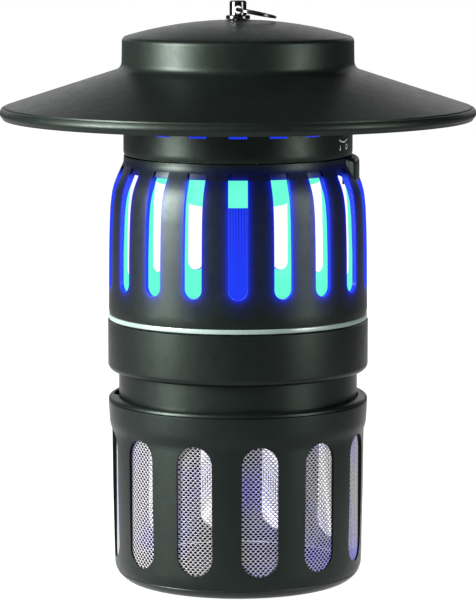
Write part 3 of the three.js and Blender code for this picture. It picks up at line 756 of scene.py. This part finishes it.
def lamp_chamber():
    z0, head = SHELL_FOOT, WINDOW_HEAD
    mesh = slotted_wall(SHELL_OUTER, SHELL_INNER, WINDOWS, WINDOW_HALF, WINDOW_LOW, WINDOW_HIGH, 0, False,
                        (7, 30, 3))
    # The wall behind each window's head, set back from the ribs, and the flange that carries the deck.
    header = [(60.8, head), (63.9, head), (63.95, head + 0.3), (62.3, 231.8), (62.3, 234.0), (60.8, 234.0)]
    facets = 12 * WINDOWS
    lathe(mesh, header, facets, looks=(1, 0, 0, 0, 0, 2))
    # Painted blue glow on the set-back wall over each window, fading upwards.
    glow = mesh.verts.layers.float["glow"]
    for vert in mesh.verts:
        r, z = math.hypot(vert.co.x, vert.co.y) / MM, vert.co.z / MM
        if z > head - 0.01 and 62.2 < r < 64.0:
            vert[glow] = max(vert[glow], 0.93 - 0.1 * (z - head))
    lathe(mesh, [(52, 233.9), (62.4, 233.9), (62.4, SHELL_TOP), (52, SHELL_TOP)], facets, looks=(2, 0, 0, 2))
    foot_z = low("lamp_shell")
    lathe(mesh, [(66.6, foot_z), (69.2, foot_z), (69.2, z0 + 0.6), (66.6, z0 + 3)], 144)
    materials = [LIT_SHELL, WINDOW_EDGE, LIT_INSIDE]
    piece = finish_mesh("lamp_chamber", mesh, "housing", ["lamp_shell"], "body_plastic", materials)
    return soften(piece, 0.28, 2, 50)


def switch_boss():
    """The rounded boss beside the windows that covers the reed switch."""
    mesh = bmesh.new()
    glow = mesh.verts.layers.float.new("glow")
    centre, half = math.radians(90), math.radians(23)
    z0, z1 = 222.4, SHELL_TOP
    r, inner, corner = 66.8, 61.5, 3.2
    profile = [(inner, z0), (r - 0.6, z0), (r, z0 + 0.8)] + [(r, z0 + 0.8 + 1.6 * i) for i in range(1, 6)]
    profile += arc(r - corner, z1 - corner, corner, 10, 90, 8) + [(inner, z1)]
    columns = []
    count = 48
    for i in range(count + 1):
        t = -1 + 2 * i / count
        near = min(1.0, (1 - abs(t)) / 0.26)
        rise = near * near * (3 - 2 * near)
        column = []
        for pr, pz in profile:
            vert = mesh.verts.new(place(inner + (pr - inner) * (0.1 + 0.9 * rise), centre + half * t, pz))
            # A painted streak of blue glow across the boss, fading out towards its top.
            painted_streak = max(0.0, 1 - abs(t + 0.18) / 0.3) * min(1.0, max(0.0, (232 - pz) / 5))
            vert[glow] = painted_streak * 0.9
            column.append(vert)
        columns.append(column)
    for a, b in zip(columns, columns[1:]):
        for k in range(len(profile)):
            j = (k + 1) % len(profile)
            mesh.faces.new([a[k], b[k], b[j], a[j]])
    mesh.faces.new(columns[0])
    mesh.faces.new(columns[-1][::-1])
    return finish_mesh("switch_boss", mesh, "housing", [], "body_plastic", [LIT_SHELL])


def switch_marks():
    """The switch's printed scale: a curved line with a stroke and a circle at its ends."""
    mesh = bmesh.new()
    r = COLLAR_R + 0.06

    def patch(azimuths, heights):
        grid = [[mesh.verts.new(place(r, math.radians(a), z)) for a in azimuths] for z in heights]
        for lower, upper in zip(grid, grid[1:]):
            for i in range(len(azimuths) - 1):
                mesh.faces.new([lower[i], lower[i + 1], upper[i + 1], upper[i]])

    def curve(points, half_width):
        """A ribbon along points of (azimuth, height)."""
        edges = []
        for i, (a, z) in enumerate(points):
            before, after = points[max(0, i - 1)], points[min(len(points) - 1, i + 1)]
            run, rise = (after[0] - before[0]) * r * math.pi / 180, after[1] - before[1]
            size = math.hypot(run, rise) or 1
            nx, nz = -rise / size * half_width, run / size * half_width
            turn = math.degrees(nx / r)
            edges.append((mesh.verts.new(place(r, math.radians(a + turn), z + nz)),
                          mesh.verts.new(place(r, math.radians(a - turn), z - nz))))
        for (a0, a1), (b0, b1) in zip(edges, edges[1:]):
            mesh.faces.new([a0, a1, b1, b0])

    curve([(60 + 0.5 * i, 247.0 - 1.3 * math.sin(math.pi * i / 20)) for i in range(21)], 0.34)
    patch([60.8, 61.5], [241.2, 244.0])
    turns = [t * math.pi / 12 for t in range(25)]
    curve([(68.8 + 1.2 * math.cos(t), 242.8 + 1.3 * math.sin(t)) for t in turns], 0.26)
    piece = finish_mesh("switch_marks", mesh, "switch", [], "body_plastic", [PRINT_INK])
    thick = piece.modifiers.new("ink", "SOLIDIFY")
    thick.thickness = 0.08 * MM
    thick.offset = 1
    return piece


def trim_ring():
    r, z0, z1 = radius("trim_ring"), low("trim_ring"), high("trim_ring")
    inner, edge = 69.5, 0.5
    outline = [(inner, z0)]
    outline += arc(r - edge, z0 + edge, edge, 270, 360, 4)
    outline += arc(r - edge, z1 - edge, edge, 0, 90, 4)
    outline += [(inner, z1)]
    return turned_piece("trim_band", outline, "housing", ["trim_ring"], "pale_trim", FINE)


# ---- the lamps ----------------------------------------------------------------------------
def lampholder():
    r, z0, z1 = radius("lampholder"), low("lampholder"), high("lampholder")
    edge = 2.2
    outline = [(0, z0 + 0.2), (r - 2.4, z0 + 0.2)]
    outline += arc(r - edge, z0 + edge, edge, 270, 360, 6)
    outline += [(r, z1), (0, z1)]
    mesh = bmesh.new()
    lathe(mesh, outline, 96, closed=False)
    # The holder's white plastic is shown with painted turquoise lamp light.
    return finish_mesh("lamp_socket", mesh, "housing", ["lampholder"], "white_plastic", [LIT_INSIDE])


def lamp_tube(side):
    """A U-shaped tube in the plane through the axis, one leg behind the other."""
    node = "lamp_tube_" + side
    top = high(node)
    bottom = low(node)
    tube = (high(node, 0) - low(node, 0)) / 2
    leg = (high(node, 1) - low(node, 1)) / 2 - tube
    centre = (high(node, 1) + low(node, 1)) / 2
    bend = bottom + tube + leg
    sides = 32
    path = [(-leg, z) for z in steps_between(top, bend, 6)]
    path += [(-leg * math.cos(a), bend - leg * math.sin(a)) for a in steps_between(0, math.pi, 20)[1:-1]]
    path += [(leg, z) for z in steps_between(bend, top, 6)]
    mesh = bmesh.new()
    rings = []
    for index, (y, z) in enumerate(path):
        before, after = path[max(0, index - 1)], path[min(len(path) - 1, index + 1)]
        along = Vector((0, after[0] - before[0], after[1] - before[1])).normalized()
        across = Vector((1, 0, 0))
        third = along.cross(across)
        ring = []
        for k in range(sides):
            b = 2 * math.pi * k / sides
            offset = (across * math.cos(b) + third * math.sin(b)) * tube
            ring.append(mesh.verts.new((Vector((0, centre + y, z)) + offset) * MM))
        rings.append(ring)
    for a, b in zip(rings, rings[1:]):
        for k in range(sides):
            j = (k + 1) % sides
            mesh.faces.new([a[k], a[j], b[j], b[k]])
    mesh.faces.new(rings[0][::-1])
    mesh.faces.new(rings[-1])
    return finish_mesh("lamp_" + side, mesh, "housing", [node], "lamp_glass")


# ---- the fan housing ----------------------------------------------------------------------
def fan_housing():
    r, z0, z1 = 71.9, 118.0, high("fan_housing")
    neck, foot, wall = 65.95, low("fan_housing"), 2.3
    outline = [(neck - wall, foot), (neck - 0.4, foot), (neck, foot + 0.4), (neck, z0 - 0.6)]
    outline += [(neck + 0.6, z0), (68.0, z0 + 0.05)]
    outline += arc(r - 3.7, z0 + 3.7, 3.7, 285, 360, 8)
    outline += [(r, z1 - 0.5), (r - 0.5, z1), (r - wall, z1), (r - wall, z0 + wall), (neck - wall, z0 + wall)]
    mesh = bmesh.new()
    lathe(mesh, outline, FINE)
    for azimuth in BAYONET:
        lug(mesh, azimuth)
    return finish_mesh("housing_band", mesh, "housing", ["fan_housing"], "body_plastic")


def lug(mesh, azimuth):
    """Adds one of the bayonet lugs on the neck that the cage's rim hangs on."""
    half, steps = 8, 8
    section = [(65.2, 98.8), (68.0, 98.8), (68.2, 99.0), (68.2, 100.9), (68.0, 101.1), (65.2, 101.1)]
    columns = []
    for i in range(steps + 1):
        a = math.radians(azimuth + half * (-1 + 2 * i / steps))
        columns.append([mesh.verts.new(place(r, a, z)) for r, z in section])
    for a, b in zip(columns, columns[1:]):
        for k in range(len(section)):
            j = (k + 1) % len(section)
            mesh.faces.new([a[k], b[k], b[j], a[j]])
    mesh.faces.new(columns[0])
    mesh.faces.new(columns[-1][::-1])


def cable_gland():
    """The ribbed inlet gland at the back."""
    z = (low("cable_gland") + high("cable_gland")) / 2
    y1 = high("cable_gland", 1)
    y0 = low("cable_gland", 1)
    seat, collar = 72.2, 76
    outline = [(3.4, y0), (5, y0), (5, seat), (7.6, seat), (8, seat + 0.4), (8, collar - 0.4), (7.6, collar)]
    ribs = 4
    rib = (y1 - collar) / (ribs + 1)
    for i in range(ribs):
        start = collar + 0.4 + rib * i
        outer = 7.2 - 0.5 * i
        outline += [(outer, start), (outer, start + rib * 0.55), (outer - 0.9, start + rib * 0.62),
                    (outer - 0.9, start + rib * 0.95)]
    outline += [(5.0, y1 - 0.3), (4.7, y1), (3.4, y1)]
    mesh = bmesh.new()
    backwards = Matrix.Translation((0, 0, z * MM)) @ Matrix.Rotation(-math.pi / 2, 4, "X")
    lathe(mesh, outline, 48, axis=backwards)
    return finish_mesh("inlet_gland", mesh, "housing", ["cable_gland"], "rubber")


# ---- the cage -----------------------------------------------------------------------------
# The cage wall: a little wider upwards, with a soft step out to the rim above the slots.
CAGE_OUTER = [(67.6, 6.3), (68.2, 7.8), (68.6, 9.6), (68.95, 25), (69.5, 51.7), (69.8, 83.6), (69.95, 85.0),
              (70.3, 86.3), (70.8, 87.8), (71.1, 89.4), (71.3, 92.5), (71.55, 97), (71.7, 100.4)]


def cage_wall():
    z0 = low("cage_wall")
    inner = [(66.4, z0), (67.6, 12.0), (67.6, 84.8), (68.0, 89.6), (68.9, 91.2), (68.9, 100.4)]
    turned = math.radians(10)
    mesh = slotted_wall(CAGE_OUTER, inner, CAGE_SLOTS, SLOT_HALF, SLOT_LOW, SLOT_HIGH, turned, True,
                        (5, 14, 12))
    materials = [LOOKS["body_plastic"]] * 3
    piece = finish_mesh("cage_shell", mesh, "cage", ["cage_wall"], "body_plastic", materials)
    return soften(piece, 0.45, 3, 50)


def cage_rim():
    """The beaded top rim and its inward flange, open at three bayonet entries."""
    mesh = bmesh.new()
    top = high("cage_wall")
    flange, cut_back = 66.55, 68.7
    section = [(68.9, 100.2), (71.7, 100.2), (71.7, 100.75), (71.25, 101.05), (71.7, 101.4), (71.65, 102.1),
               (71.3, 102.7), (70.7, top - 0.3), (70.2, top), (flange + 0.2, top), (flange, top - 0.2),
               (flange, 101.6), (flange + 0.2, 101.4), (68.9, 101.4)]
    steps = 270
    entry_half = math.radians(9.5)
    entries = [math.radians(a) for a in BAYONET]
    columns = []
    for i in range(steps):
        a = 2 * math.pi * i / steps
        gap = min(abs((a - e + math.pi) % (2 * math.pi) - math.pi) for e in entries)
        inner = cut_back if gap < entry_half else flange
        columns.append([mesh.verts.new(place(max(r, inner), a, z)) for r, z in section])
    for i in range(steps):
        a, b = columns[i], columns[(i + 1) % steps]
        for k in range(len(section)):
            j = (k + 1) % len(section)
            mesh.faces.new([a[k], b[k], b[j], a[j]])
    bmesh.ops.remove_doubles(mesh, verts=mesh.verts, dist=1e-7)
    return finish_mesh("cage_rim", mesh, "cage", [], "body_plastic")


def cage_liner():
    """Expanded metal: flattened diamond holes in staggered rows."""
    z0, z1 = 11.0, high("cage_mesh")
    r = 67.2
    margin = 0.8
    around = 154
    rows = 56
    row_pitch = (z1 - z0 - 2 * margin) / rows
    pitch = 2 * math.pi / around
    hole_w, hole_h = 0.44 * pitch, 0.52 * row_pitch
    corners = ((1, 0), (0.34, 1), (-0.34, 1), (-1, 0), (-0.34, -1), (0.34, -1))
    mesh = bmesh.new()
    holes = []
    for j in range(rows + 1):
        z = z0 + margin + row_pitch * j
        middles = (pitch * (i + 0.5 * (j % 2)) for i in range(around))
        holes.append([[mesh.verts.new(place(r, a + hole_w * x, z + hole_h * y)) for x, y in corners]
                      for a in middles])
    right, up_right, up_left, left, down_left, down_right = range(6)
    for j in range(rows):
        for i in range(around):
            hole = holes[j][i]
            shift = j % 2
            above_right = holes[j + 1][(i + shift) % around]
            above_left = holes[j + 1][(i + shift - 1) % around]
            mesh.faces.new([hole[right], above_right[down_left], above_right[left], hole[up_right]])
            mesh.faces.new([hole[up_left], above_left[right], above_left[down_right], hole[left]])
            if j + 2 <= rows:
                top = holes[j + 2][i]
                mesh.faces.new([hole[up_right], above_right[left], top[down_right], top[down_left],
                                above_left[right], hole[up_left]])
    # The inward face takes the darker copy as painted shade.
    materials = [LOOKS["mesh_metal"], MESH_BACK_SHADE]
    piece = finish_mesh("cage_screen", mesh, "cage", ["cage_mesh"], "mesh_metal", materials)
    thick = piece.modifiers.new("sheet", "SOLIDIFY")
    thick.material_offset = 1
    thick.material_offset_rim = 0
    thick.thickness = 0.32 * MM
    thick.offset = 0
    return piece


def cage_floor():
    """The cage's base: a flat dish whose corner is a rounded, slightly flattened quarter curve."""
    z0, z1 = 0.8, high("cage_floor")
    rim, corner_w, corner_h = 68.65, 8, 10

    def corner(z):
        rise = min(1.0, max(0.0, 1 - z / corner_h))
        return rim - corner_w + corner_w * (1 - rise ** 1.6) ** 0.625

    outline = [(0, z0), (50, z0), (58, z0)]
    outline += [(corner(z), z + z0 * (1 - z / z1)) for z in (0.15, 0.4, 0.8, 1.4, 2.1, 3.0, 4.0, 5.0, 5.7)]
    outline += [(corner(z1) - 0.25, z1), (66.2, z1), (63.6, 3.8), (62, 3.4), (0, 3.4)]
    mesh = bmesh.new()
    lathe(mesh, outline, FINE, closed=False)
    return finish_mesh("cage_base", mesh, "cage", ["cage_floor"], "body_plastic")


def foot(index):
    node = f"foot_{index}"
    centre = (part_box(node)[0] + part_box(node)[1]) / 2
    size = (high(node, 0) - low(node, 0)) / 2
    top = high(node)
    edge = 0.9
    mesh = bmesh.new()
    outline = [(0, 0), (size - 1.4, 0)]
    outline += arc(size - edge, edge, edge, 270, 360, 5)
    outline += [(size, top), (0, top)]
    there = Matrix.Translation((centre.x, centre.y, 0))
    lathe(mesh, outline, 40, closed=False, axis=there)
    return finish_mesh(f"rubber_foot_{index}", mesh, "cage", [node], "rubber")


# ---- the scene ----------------------------------------------------------------------------
def dress_frame():
    """Gives each CAD node its slot's material, and the two under the lamps their glow."""
    slots = {row["node"]: row["material_slot"] for row in frame["record"]["subparts"]}
    for name, node in frame["nodes"].items():
        node.data.materials.clear()
        node.data.materials.append(LOOKS[slots[name]])
    for name, look in (("lamp_deck", LIT_INSIDE), ("funnel_duct", lit_funnel())):
        frame["nodes"][name].data.materials.clear()
        frame["nodes"][name].data.materials.append(look)


def camera():
    """A long lens in front of the object, looking a little down."""
    away, up, dip = 1.7759, 0.3887, 7.47
    data = bpy.data.cameras.new("camera")
    data.lens = 194.3
    data.sensor_width = 36
    made = bpy.data.objects.new("camera", data)
    made.location = (0, -away, up)
    made.rotation_euler = (math.radians(90 - dip), 0, 0)
    bpy.context.scene.collection.objects.link(made)
    bpy.context.scene.camera = made


def softbox(name, where, target, size, power):
    """A rectangular light at a place, turned to face a target; metres and watts."""
    data = bpy.data.lights.new(name, "AREA")
    data.shape = "RECTANGLE"
    data.size, data.size_y = size
    data.energy = power
    lamp = bpy.data.objects.new(name, data)
    lamp.location = where
    lamp.rotation_euler = (Vector(target) - Vector(where)).to_track_quat("-Z", "Y").to_euler()
    bpy.context.scene.collection.objects.link(lamp)


def studio():
    """The floor, a dim even surround, and the softboxes."""
    mesh = bmesh.new()
    bmesh.ops.create_circle(mesh, cap_ends=True, segments=96, radius=30)
    data = bpy.data.meshes.new("floor")
    mesh.to_mesh(data)
    mesh.free()
    data.materials.append(floor_painted_light())
    floor = bpy.data.objects.new("floor", data)
    floor.location.z = -0.4 * MM
    bpy.context.scene.collection.objects.link(floor)
    world = bpy.data.worlds.new("studio")
    world.use_nodes = True
    surround = world.node_tree.nodes["Background"]
    surround.inputs["Color"].default_value = (1, 1, 1, 1)
    surround.inputs["Strength"].default_value = 0.05
    bpy.context.scene.world = world
    bpy.context.scene.view_settings.view_transform = "Standard"
    softbox("key", (-1.42, -0.64, 0.72), (0, 0, 0.24), (0.5, 1.1), 182)
    softbox("fill", (1.32, -0.72, 0.45), (0, 0, 0.2), (0.45, 1.3), 32)
    softbox("front", (-0.5, -2.4, 1.7), (0, 0, 0.2), (1.2, 0.8), 5)
    softbox("back", (0, 2.2, 0.9), (0, 0, 0.3), (3.2, 0.9), 11)


dress_frame()
camera()
studio()
roof()
hanging_post()
split_ring()
switch_collar()
collar_lamp_glow()
lamp_chamber()
switch_boss()
switch_marks()
trim_ring()
lampholder()
for side in ("front", "rear"):
    lamp_tube(side)
fan_housing()
cable_gland()
cage_wall()
cage_rim()
cage_liner()
cage_floor()
for number in range(1, 5):
    foot(number)

bpy.context.view_layer.update()
